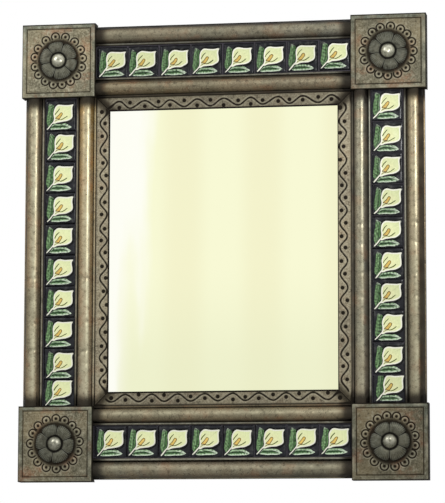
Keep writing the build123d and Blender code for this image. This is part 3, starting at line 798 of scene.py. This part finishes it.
def makeCap(name, seed):
    # rows run outward from the middle: circles, then a blend to squares, then down the walls and back inside.
    # A square row is r(t) = half / max(|cos t|, |sin t|).
    half, field, score = cap["half"], cap["field"], cap["score"]
    t = (np.arange(cap["columns"]) * 2 * pi / cap["columns"])[None, :]
    square = 1 / np.maximum(np.abs(np.cos(t)), np.abs(np.sin(t)))
    circles = np.concatenate([[0.0, 10.0, 20.0, 28.0], np.arange(31.0, 48.6, 0.5)])[:, None] + 0 * t
    share = np.linspace(0, 1, 11)[1:, None]
    blend = circles[-1:] * (1 - share) + (field - score) * square * share
    scored = (field - score + score * np.array([[0.2], [0.4], [0.6], [0.8], [1.0]])) * square
    border = np.linspace(field + 0.8, half - 0.5, 8)[:, None] * square
    reach = np.vstack([circles, blend, scored, border])
    across, up = reach * np.cos(t), reach * np.sin(t)
    box = np.maximum(np.abs(across), np.abs(up))

    crescent, boss, dot, lit = stampMarks(name, reach, t)
    groove = bell(box - (field - score / 2), score * 0.5)
    dents = (0.5 + 0.5 * swell(across, up, cap["dentSize"], seed)) * soft(half - box, 0, 6)
    front = cap["face"] - cap["dent"] * dents - cap["bossHigh"] * (1 - boss)
    front = front - cap["arcDeep"] * crescent - cap["dotDeep"] * dot - cap["scoreDeep"] * groove
    front = front - (cap["drop"] - cap["bossHigh"]) * soft(box, field, half)
    front = front - cap["rounding"] * soft(box, half - 1.6, half)
    soot = sum(share * mark for share, mark in zip(cap["sooty"], (crescent, dot, groove)))
    # painted shadow round the rosette, and a fainter one out to the stamps
    soot = soot + cap["rosetteShadow"] * soft(reach, cap["rosetteShadowWide"], cap["rosetteEdge"]) + 0.15 * soft(reach, 50, 30)
    # painted shade along the outer edge, darker and wider on the top side
    topSide = soft(up / np.maximum(box, 1), 0.96, 1)
    soot = soot + (0.8 + 0.6 * topSide) * soft(box, half - 1.9 - 0.9 * topSide, half - 0.6)
    soot = np.clip(soot, 0, 1.15 + 0.25 * topSide)
    patchy = soft(swell(across, up, cap["patchSize"], seed + 5), -0.3, 0.8)
    # painted highlights on the border and along its bevel
    lit = lit + (0.1 + 0.35 * patchy) * soft(box, field + 0.5, field + 2)
    lit = lit + 0.5 * patchy * bell(box - half + 2.2, 1.0)

    signX, signZ = corners[name]
    outerWall = (signX * np.cos(t) * square > 0.999) | (signZ * np.sin(t) * square > 0.999)
    base = np.where(outerWall, 0.0, cap["plate"])
    lap = np.where(outerWall, half - cap["flange"], half) * square
    rim, inner = half * square, (half - sheet) * square
    roof = cap["face"] - cap["roof"] + 0 * rim
    skirt = np.vstack([rim, rim, rim, lap, np.where(outerWall, lap, inner), inner, inner, 0 * rim])
    skirtHeight = np.vstack([
        front[-1:] - 0.5, (front[-1:] + base) / 2, base, base, base + sheet,
        np.where(outerWall, base + sheet, base), roof, roof,
    ])
    # the walls and the fold below the face are dark: painted shade
    soot = np.vstack([soot] + [level + 0 * rim for level in cap["wallShade"]])
    lit = np.vstack([lit, 0 * skirt])
    reaches, heights = np.vstack([reach, skirt]), np.vstack([front, skirtHeight])
    points = placeRound(cornerMiddle(name), reaches, t, heights)
    border = soft(np.vstack([box, half + 0 * skirt]), field - 0.5, field + 1.5)[..., None]
    upward = np.clip(np.sin(t) * square, -1, 1)[..., None]
    # the corner's painted light, with a greyer border; the border greys more on the top side and less on the
    # bottom: painted shade
    tint = cornerLight[name][0] * (1 - border * (1 + cap["topShade"] * upward) * np.array(cap["borderDull"]))
    skin = shell(points, wrap=True, soot=soot, rub=lit, paint=tint)
    makePiece(f"corner_cap.folded.{name}", [skin], tin["cap"], "cap_tin", f"corner_cap_{name}")


for number, name in enumerate(corners):
    makeCap(name, 70 + number)
print("corner caps folded")

# Rosettes and dome nails

rosette = {
    "radius": 31.0, "hub": 13.0, "seat": 26.0, "crown": 28.9, "slit": 0.6, "flare": 1.6, "round": 0.06,
    "lift": 0.62, "ribs": 10, "ribDeep": 0.14, "uneven": 0.18, "unevenSize": 16.0, "rows": 18, "columns": 49,
    "slits": {      # degrees from the right, anticlockwise
        "top_left": [5, 72, 130, 192, 253, 319], "top_right": [9, 68, 136, 190, 252, 308],
        "bottom_left": [19, 81, 140, 201, 260, 323], "bottom_right": [29, 92, 150, 206, 268, 336],
    },
}


def discRows(radii, heights, columns=72):
    # a closed turned skin: each row is a ring of the given radius and height
    t = np.arange(columns) * 2 * pi / columns
    return np.array(radii, float)[:, None] + 0 * t, np.array(heights, float)[:, None] + 0 * t, t[None, :]


def makeRosette(name):
    # petal edge r(a) = R (1 - round |a / aMax|^7). A slit is slit + flare s^4 wide. Height rises and falls
    # between hub and edge as sin(pi s)^0.6 and drops a little towards the slits.
    middle, seat, hub = cornerMiddle(name), rosette["seat"], rosette["hub"]
    shells = []
    share = np.linspace(0, 1, rosette["rows"])[:, None]
    across = np.linspace(-1, 1, rosette["columns"])[None, :]
    edge = rosette["radius"] * (1 - rosette["round"] * np.abs(across) ** 7)
    reach = hub - 1 + (edge - hub + 1) * share
    gap = rosette["slit"] + rosette["flare"] * share**4
    swellUp = np.sin(pi * np.clip(share, 0.02, 0.985)) ** 0.6 * (1 - 0.35 * np.abs(across) ** 4)
    rib = 0.5 + 0.5 * np.cos(pi * across * rosette["ribs"])
    # painted highlights along the petal edges and on the rib crests, soot in the rib hollows, and painted
    # shade by the hub under the dome, at the tips and towards the slits
    rub = 0.6 * np.maximum(bell(1 - np.abs(across), 0.09), bell(1 - share, 0.07)) + 0.4 * (1 - rib)
    soot = 0.95 * soft(share, 0.2, 0.04) + 0.45 * soft(share, 0.78, 1)
    soot = soot + 0.22 * rib + 0.4 * np.abs(across) ** 4
    slits = rosette["slits"][name]
    for petal, (first, last) in enumerate(zip(slits, slits[1:] + [slits[0] + 360])):
        widest = radians(last - first) / 2 - gap / 2 / np.maximum(reach, hub)
        turn = across * widest + radians(first + last) / 2
        uneven = swell(reach * np.cos(turn), reach * np.sin(turn), rosette["unevenSize"], petal + 3)
        rise = rosette["crown"] - seat + rosette["uneven"] * uneven - rosette["ribDeep"] * rib
        height = seat + rosette["lift"] + rise * swellUp
        low = np.maximum(height - sheet, seat + 0.02)
        front, behind = [placeRound(middle, reach, turn, level) for level in (height, low)]
        shells.append(shell(front, behind, soot=soot, rub=rub, paint=cornerLight[name][1]))
    # a dark disc round the dome nail's foot: painted shadow of the dome
    radii, heights, t = discRows([0, hub + 0.8, hub + 0.8, 0], [0.6, 0.6, 0.02, 0.02])
    shells.append(shell(placeRound(middle, radii, t, seat + heights), wrap=True, soot=1.0))
    node = f"corner_rosette_{name}"
    makePiece(f"corner_rosette.petals.{name}", shells, tin["rosette"], "rosette_tin", node)


stud = {
    "radius": 12.2, "rise": 8.0, "seat": 26.6, "wall": 0.8, "shank": 1.5, "tail": 21.4, "dent": 0.16,
    "dentSize": 9.0, "dimple": 0.35, "dimpleWide": 2.4, "dimpleDark": 0.5, "glintAt": 1.5, "glintReach": 4.5,
}


def makeStud(name, seed):
    # dome height h(r) = centre + sqrt(bow^2 - r^2), with a rolled edge and a hollow inside
    middle, radius, wall = cornerMiddle(name), stud["radius"], stud["wall"]
    bow = (radius**2 + stud["rise"] ** 2) / (2 * stud["rise"])
    centre = stud["seat"] + stud["rise"] - bow
    out = radius * np.sin(np.radians(np.linspace(0, 90, 26)))
    dome = centre + np.sqrt(bow**2 - out**2)
    inside = np.linspace(radius - wall, 0, 10)
    hollow = centre + np.sqrt((bow - wall) ** 2 - np.minimum(inside, bow - wall) ** 2)
    hollow[0] = stud["seat"]
    radii, heights, t = discRows(np.r_[out, inside], np.r_[dome, hollow])
    x, z = radii * np.cos(t), radii * np.sin(t)
    dents = 0.5 + 0.5 * swell(x, z, stud["dentSize"], seed)
    heights = heights - stud["dent"] * dents * soft(radii, radius, radius - 3)
    heights = heights - stud["dimple"] * bell(radii, stud["dimpleWide"])
    # painted shade round the dome's foot, and darker in the dimple
    soot = 0.95 * soft(radii, radius - 2.4, radius - 0.5) + stud["dimpleDark"] * bell(radii, 2.2)
    # a painted glint: a pale ring up and to the right of the middle, scaled by the corner's painted light
    rub = 0.2 + 0.8 * bell(np.hypot(x - stud["glintAt"], z - stud["glintAt"]) - stud["glintReach"], 2.6)
    tint = cornerLight[name][2]
    cup = shell(placeRound(middle, radii, t, heights), wrap=True, soot=soot, rub=rub * tint, paint=tint)
    radii, heights, t = discRows([0, stud["shank"], stud["shank"], 0], [0, 0, 1, 1], 20)
    heights = stud["tail"] + heights * (stud["seat"] + stud["rise"] - wall / 2 - stud["tail"])
    shank = shell(placeRound(middle, radii, t, heights), wrap=True)
    makePiece(f"corner_stud.dome.{name}", [cup, shank], tin["stud"], "stud_tin", f"corner_stud_{name}")


for number, name in enumerate(corners):
    makeRosette(name)
    makeStud(name, 90 + number)
print("rosettes and dome nails pressed")

# Tiles

tile = {
    "size": 49.6, "bottom": 12.0, "face": 17.5, "uneven": 0.22, "unevenSize": 22.0, "wobble": 0.4,
    "wobbleSize": 15.0, "play": 1.4, "leafMottle": 0.9, "gap": 1.4, "corner": 2.0, "cornerCut": 0.7,
    "bevel": 1.4, "bevelDeep": 1.1, "border": 0.9, "cutDrop": 0.8, "washSize": 16.0, "root": 0.25,
    "ground": paint(42, 43, 47), "groundTwo": paint(25, 26, 30),
    "tone": (0.93, 1.06), "lean": 0.5, "slip": 0.25, "shrink": 0.25, "tilt": 0.006,
    "cut": {"left": 42.6, "right": 44.4}, "cutRoom": 44.4,
    # painted light: each row's brightness, higher where the lamps reach it less
    "bright": {"top": 0.96, "right": 1.02, "bottom": 1.26, "left": 1.13},
    # above the tile's face: where each kind of mark starts and how thick it is
    "lifts": {"leaf": (0.02, 0.16), "under": (0.01, 0.1), "spathe": (0.05, 0.24), "spadix": (0.24, 0.14),
              "over": (0.22, 0.13)},
    "strokeSpread": {"under": (0.8, 1.2), "over": (0.85, 1.15)},
    "laid": {       # how far each tile and its flower sit right of and below an even row
        "top": [
            (1.8, 1.8), (-0.2, 2.3), (0.3, 2.3), (-0.2, 1.3), (0.8, 1.3), (0.3, 0.8), (-0.2, 0.3),
            (-0.2, -1.2),
        ],
        "bottom": [
            (3.2, 0.3), (2.7, 0.1), (1.8, 0.3), (1.8, 0.6), (1.3, 0.4), (0.8, 0.2), (0.3, 0.5), (-0.2, 0.3),
        ],
        "left": [
            (-0.7, 2.3), (0.3, 1.8), (-0.2, 2.4), (0.8, 2.4), (0.3, 2.9), (1.3, 3.0), (1.8, 2.5),
            (1.3, 2.5), (2.3, 2.1), (1.3, -0.2),
        ],
        "right": [
            (-0.2, -0.6), (1.3, 0.3), (0.3, 0.0), (0.8, 0.4), (0.3, 1.4), (1.3, 1.5), (0.8, 0.1),
            (1.8, -1.0), (2.3, -0.3), (3.6, -1.5),
        ],
    },
}
white, cream, yellow = paint(255, 255, 236), paint(228, 236, 182), paint(244, 244, 188)
ochre, brown, ink = paint(222, 190, 104), paint(96, 70, 30), paint(3, 3, 4)
leafDark, leafMid, leafSoft = paint(30, 58, 30), paint(76, 110, 66), paint(117, 147, 105)
leafPale, leafBright, leafDusty = paint(176, 202, 166), paint(212, 226, 204), paint(132, 138, 126)
olive = paint(84, 96, 42)

spathe = [
    (21.7, 18), (15, 17.6), (10, 17.5), (5, 17.8), (0, 18.6), (-3, 18.6), (-5, 18), (-7.5, 16.2), (-9.3, 14),
    (-10.6, 10.5), (-11.4, 5), (-11, 0), (-10.8, -5), (-12, -9.5), (-13.2, -12.4), (-11, -13), (-8, -12.5),
    (-5, -11), (0, -10.3), (5, -9.8), (10, -9.2), (15, -7.3), (18, -5.5), (20, -3), (20.6, 0), (20.3, 6),
    (19.9, 10), (20.2, 14.5),
]
spadix = [
    (-8.7, -4.5), (-4, 0.5), (-1, 4.5), (1.5, 6), (4, 4.3), (3.3, 1), (0.5, -3), (-1.7, -5.7), (-5, -5.6),
]
leaves = [
    {
        "one": [(-17, 20.6), (-18.5, 20.3), (-19.8, 16), (-20.3, 10), (-21.5, 3), (-22.6, -4), (-22.8, -10),
                (-22, -14), (-19.5, -18.3)],
        "two": [(-17, 20.6), (-15, 19.5), (-12, 17), (-11, 14.5), (-12, 8), (-12, -5), (-13.5, -9),
                (-16.5, -14), (-19.5, -18.3)],
        "shades": [leafMid, leafSoft, leafMid, leafSoft, leafDark, leafMid, leafMid],
        "fades": (0.3, 0.08), "fadesTo": leafDusty,
    },
    {
        "one": [(-17.6, -20.3), (-16, -19.5), (-12, -14.8), (-8, -13.6), (0, -13.2), (5, -13), (9, -13.3),
                (12, -14.5), (15, -16.5), (19, -19.2)],
        "two": [(-17.6, -20.3), (-17, -21.3), (-14, -22.4), (-6, -22.6), (0, -22.6), (5, -22.4), (9, -22.2),
                (13, -21.8), (17, -20.5), (19, -19.2)],
        "shades": [leafSoft, leafPale, leafDark, leafDark, leafMid, leafPale, leafBright],
        "fades": (0.6, 1.1), "fadesTo": leafBright,
    },
]
strokes = {      # points, half width and colour. The first ones lie under the flower.
    "under": [
        ([(-12, 13), (-10, 15), (-8, 18), (-4, 20), (0, 20.3), (5, 19.4), (10, 19.2), (20, 20),
          (22.5, 20.6)], 1.5, ink),
        ([(22.6, 16), (22, 10), (22, 4), (22, -1), (20.5, -6), (16, -9.6), (10, -11.3), (4, -12.2),
          (-3, -12.6)], 1.35, ink),
        ([(-13, -23.4), (-6, -24), (0, -24.1), (7, -24), (14, -23.2)], 0.7, ink),
    ],
    "over": [
        ([(-11, -9.5), (-14, -13), (-18.5, -18.3), (-22.5, -22.3)], 0.9, white),
        ([(-8.4, 1.5), (-8, 3), (-5.5, 7), (-0.7, 12)], 0.85, olive),
        ([(-0.5, -7), (4, -5.6), (8, -3.3), (12, -0.5)], 0.85, olive),
        ([(-9.8, -9.4), (-6, -7), (-2, -6.2), (0, -6)], 0.55, brown),
        ([(-3.6, -5.4), (-2.5, -6.1), (-1.2, -5.6)], 0.9, brown),
        ([(-7, -3.4), (-3, 0.6), (0.4, 4.4)], 0.35, brown),
        ([(3, -15.2), (8, -16), (13, -17.4), (17.5, -19)], 0.45, leafBright),
        ([(-12, -21.8), (-4, -22), (4, -21.8), (12, -21.2)], 0.5, leafBright),
    ],
}


def ribbon(one, two, low, rise, shades):
    # top height = low + rise (1 - (2 s - 1)^6) across s, closed by a strip below
    share = np.linspace(0, 1, 9)
    flat = one[:, None, :] * (1 - share[None, :, None]) + two[:, None, :] * share[None, :, None]
    flat = np.concatenate([flat[:, :1], flat, flat[:, -1:]], axis=1)
    root = low - tile["root"]
    height = np.r_[root, low + rise * (1 - np.abs(2 * share - 1) ** 6), root]
    steps, at = np.linspace(0, 1, len(shades)), np.r_[0, share, 1]
    colour = np.stack([np.interp(at, steps, [shade[k] for shade in shades]) for k in range(3)], -1)
    return flat, np.broadcast_to(height, flat.shape[:2]), np.broadcast_to(colour, flat.shape[:2] + (3,))


def brushStroke(at, half, low, rise, colour):
    # half width w(s) = half (1 - |2 s - 1|^4)^0.5 on both sides of the line
    line = curveThrough(at, 26)
    step = np.gradient(line, axis=0)
    normal = np.stack([-step[:, 1], step[:, 0]], -1) / np.hypot(step[:, 0], step[:, 1])[:, None]
    s = np.linspace(-1, 1, len(line))
    wide = (half * np.sqrt(np.clip(1 - np.abs(s) ** 4, 0, 1)))[:, None]
    return ribbon(line - normal * wide, line + normal * wide, low, rise, [colour, colour])


def patch(outline, centre, rim, low, rise, rimColour, fill):
    # rows step inward from the outline, first by the rim's width and then to the centre
    edge = curveThrough(outline, 80, closed=True)
    step = np.roll(edge, -1, 0) - np.roll(edge, 1, 0)
    inward = np.stack([step[:, 1], -step[:, 0]], -1) / np.hypot(step[:, 0], step[:, 1])[:, None]
    if ((np.array(centre) - edge) * inward).sum() < 0:
        inward = -inward
    rows = [np.broadcast_to(centre, edge.shape), edge, edge]
    rows += [edge + inward * 0.12, edge + inward * (rim - 0.25)]
    last = edge + inward * (rim + 0.15)
    rows += [last * (1 - share) + np.array(centre) * share for share in (0, 0.15, 0.35, 0.6, 0.8, 1.0)]
    flat = np.array(rows)
    root = low - tile["root"]
    height = np.array([root, root, low, low + rise, low + rise] + 6 * [low + rise * 0.8])
    colour = np.where(np.arange(len(rows))[:, None, None] < 5, rimColour, fill(flat))
    return flat, height[:, None] + 0 * flat[..., 0], colour


def spatheFill(flat):
    # cream, with yellow round the spadix
    near = bell(np.hypot((flat[..., 0] - 1) * 0.8, flat[..., 1] - 1), 9)[..., None]
    return cream * (1 - near) + yellow * near


def paintedTile(across, up, high, push, bright, seed):
    # one tile: an uneven square block and the brush marks of a calla lily on it
    dice = np.random.default_rng(seed)
    # tone is the row's painted light times the tile's own random tone
    lean, tone = radians(dice.normal(0, tile["lean"])), bright * dice.uniform(*tile["tone"])
    shift = np.array(push) + dice.normal(0, tile["slip"], 2)
    wide, tall = tile["size"] / 2 - dice.uniform(0, tile["shrink"]), high / 2
    tilt, c, s = dice.normal(0, tile["tilt"], 2), np.cos(lean), np.sin(lean)
    t = np.sin(np.linspace(-pi / 2, pi / 2, 17))
    u, v = np.meshgrid(t * wide, t * tall)
    pastU, pastV = np.abs(u) - wide + tile["corner"], np.abs(v) - tall + tile["corner"]
    corner = np.clip(np.hypot(pastU, pastV) - tile["corner"], 0, None) * ((pastU > 0) & (pastV > 0))
    u, v = [line - np.sign(line) * corner * tile["cornerCut"] for line in (u, v)]
    nearest = np.minimum(wide - np.abs(u), tall - np.abs(v))

    def uneven(x, y):
        # waves of the clay and a slight tilt of the whole tile
        return tile["uneven"] * swell(x, y, tile["unevenSize"], seed) + tilt[0] * x + tilt[1] * y

    def turned(x, y, h):
        # across = x cos a - y sin a, up = x sin a + y cos a
        return place(across + x * c - y * s, up + x * s + y * c, h)

    face = tile["face"] + uneven(u, v) - tile["bevelDeep"] * np.clip(1 - nearest / tile["bevel"], 0, 1) ** 2
    wash = (0.5 + 0.5 * swell(u, v, tile["washSize"], seed + 2))[..., None]
    ground = (tile["ground"] * wash + tile["groundTwo"] * (1 - wash)) * tone
    shells = [shell(turned(u, v, face), turned(u, v, tile["bottom"]), paint=ground)]
    flowerUp = tile["size"] / 2 - tall - (tile["cutDrop"] if high < tile["size"] else 0)
    lifts = {kind: (tile["face"] + low, rise) for kind, (low, rise) in tile["lifts"].items()}

    def lay(flat, height, colour, mottle=0.07):
        # a brush mark wobbles, stays within the border and follows the uneven face
        fromX, fromY = flat[..., 0], flat[..., 1]
        x, y = [
            start + slide + tile["wobble"] * swell(fromX, fromY, tile["wobbleSize"], seed + k)
            for start, slide, k in ((fromX, shift[0], 3), (fromY, shift[1] + flowerUp, 4))
        ]
        x = np.clip(x, tile["border"] - wide, wide - tile["border"])
        y = np.clip(y, tile["border"] - tall, tall - tile["border"])
        colour = colour * tone * (1 + mottle * swell(x, y, 4, seed + 5))[..., None]
        colour = np.clip(colour / np.maximum(colour.max(-1, keepdims=True), 1), 0, 1)
        shells.append(shell(turned(x, y, height + uneven(x, y)), wrap=True, paint=colour))

    def layStrokes(kind):
        # each stroke is a little wider or narrower than the pattern's
        for at, half, colour in strokes[kind]:
            half = half * dice.uniform(*tile["strokeSpread"][kind])
            lay(*brushStroke(at, half, *lifts[kind], colour))

    for leaf in leaves:
        one, two = curveThrough(leaf["one"], 34), curveThrough(leaf["two"], 34)
        flat, height, colour = ribbon(one, two, *lifts["leaf"], leaf["shades"])
        faded = soft(np.linspace(0, 1, len(one)), *leaf["fades"])[:, None, None]
        lay(flat, height, colour * (1 - faded) + leaf["fadesTo"] * faded, tile["leafMottle"])
    layStrokes("under")
    lay(*patch(spathe, (4, 4), 2.2, *lifts["spathe"], white, spatheFill))
    lay(*patch(spadix, (-1.5, 0.5), 1.1, *lifts["spadix"], brown, lambda flat: ochre + 0 * flat[..., :1]))
    layStrokes("over")
    return shells


def makeTiles(name):
    # one row: even places between the row's ends, then each tile slides by its own amount. What the room in
    # the channel does not allow moves the flower alone. A side row ends in a cut tile at the foot.
    low, high = nodeBox(f"tiles_{name}")
    size, half, play = tile["size"], tile["size"] / 2, tile["play"]
    middle = (low + high) / 2
    level = name in ("top", "bottom")
    if level:
        spots = [(x, middle[1], size) for x in np.linspace(low[0] + half, high[0] - half, 8)]
    else:
        lowest = low[1] + tile["cutRoom"] + tile["gap"] + half
        spots = [(middle[0], up, size) for up in np.linspace(high[1] - half, lowest, 9)]
        spots.append((middle[0], low[1] + tile["cut"][name] / 2, tile["cut"][name]))
    shells = []
    for number, ((across, up, tall), (right, down)) in enumerate(zip(spots, tile["laid"][name])):
        slideRight = right if level else np.clip(right, -play, play)
        slideDown = 0 if tall < size else np.clip(down, -play, play) if level else down
        push = (right - slideRight, slideDown - down)
        seed = 1000 * "trbl".index(name[0]) + 10 * number
        shells += paintedTile(across + slideRight, up - slideDown, tall, push, tile["bright"][name], seed)
    makePiece(f"tiles.painted.{name}", shells, glaze, "glazed_tile", f"tiles_{name}", sharp=50)


for name in railSides:
    makeTiles(name)
print("tiles painted")

# Plain parts

plain = {
    "mirror_glass": silvering, "backing_card": card, "back_cover": coverTin, "cover_tabs": backTin,
    "stud_washers": strapTin, "hanger_rivets": strapTin, "hanger_strap_left": strapTin,
    "hanger_strap_right": strapTin, "hanging_ring_left": wireFinish, "hanging_ring_right": wireFinish,
}
for side in railSides:
    plain.update({f"tile_grout_{side}": grout, f"back_plate_{side}": backTin})
for name, material in plain.items():
    for slot in frame["nodes"][name].material_slots:
        slot.material = material
print("plain parts finished")

# Stage, light and camera

studio = {
    "floorDown": 0.9, "floorSize": 60.0, "floor": paint(238, 238, 236), "surround": 0.42,
    "lamps": {
        "nearLamp": {"at": (0.4, -0.92, 0.7), "size": 0.22, "power": 4.1},
        "wideLamp": {"at": (-1.25, -1.35, 1.4), "size": 0.9, "power": 13.0},
    },
    "aim": (0.0, 0.0, 0.375), "camera": (0.7536143, -4.4895352, -0.2133367),
    "cameraTurn": (97.29121, -0.13539, 9.50243), "lens": 203.876,
}
half, low = studio["floorSize"] / 2, -studio["floorDown"]
floorMesh = bpy.data.meshes.new("floor")
floorCorners = [(x * half, y * half, low) for x, y in ((-1, -1), (1, -1), (1, 1), (-1, 1))]
floorMesh.from_pydata(floorCorners, [], [(0, 1, 2, 3)])
floor = bpy.data.objects.new("floor", floorMesh)
bpy.context.scene.collection.objects.link(floor)
floorMesh.materials.append(startMaterial("floorPaint", Base_Color=studio["floor"], Roughness=0.9)[0])

for name, lamp in studio["lamps"].items():
    data = bpy.data.lights.new(name, "AREA")
    data.shape, data.size, data.energy = "DISK", lamp["size"], lamp["power"]
    light = bpy.data.objects.new(name, data)
    light.location = lamp["at"]
    light.rotation_euler = (Vector(studio["aim"]) - Vector(lamp["at"])).to_track_quat("-Z", "Y").to_euler()
    bpy.context.scene.collection.objects.link(light)

world = bpy.data.worlds.new("surround")
bpy.context.scene.world = world
world.use_nodes = True
tree = world.node_tree
rays = addNode(tree, "ShaderNodeLightPath").outputs
seen = maths(tree, "MAXIMUM", rays["Is Camera Ray"], rays["Is Glossy Ray"])
seen = maths(tree, "MAXIMUM", seen, rays["Is Transmission Ray"])
strength = span(tree, seen, 0.0, 1.0, studio["surround"], 1.0)
background = tree.nodes["Background"]
background.inputs["Color"].default_value = (1, 1, 1, 1)
tree.links.new(strength, background.inputs["Strength"])

eye = bpy.data.cameras.new("camera")
eye.lens, eye.sensor_width = studio["lens"], 36
camera = bpy.data.objects.new("camera", eye)
camera.location = studio["camera"]
camera.rotation_euler = Euler([radians(turn) for turn in studio["cameraTurn"]])
bpy.context.scene.collection.objects.link(camera)
bpy.context.scene.camera = camera
bpy.context.scene.view_settings.view_transform = "Standard"
print("stage set")
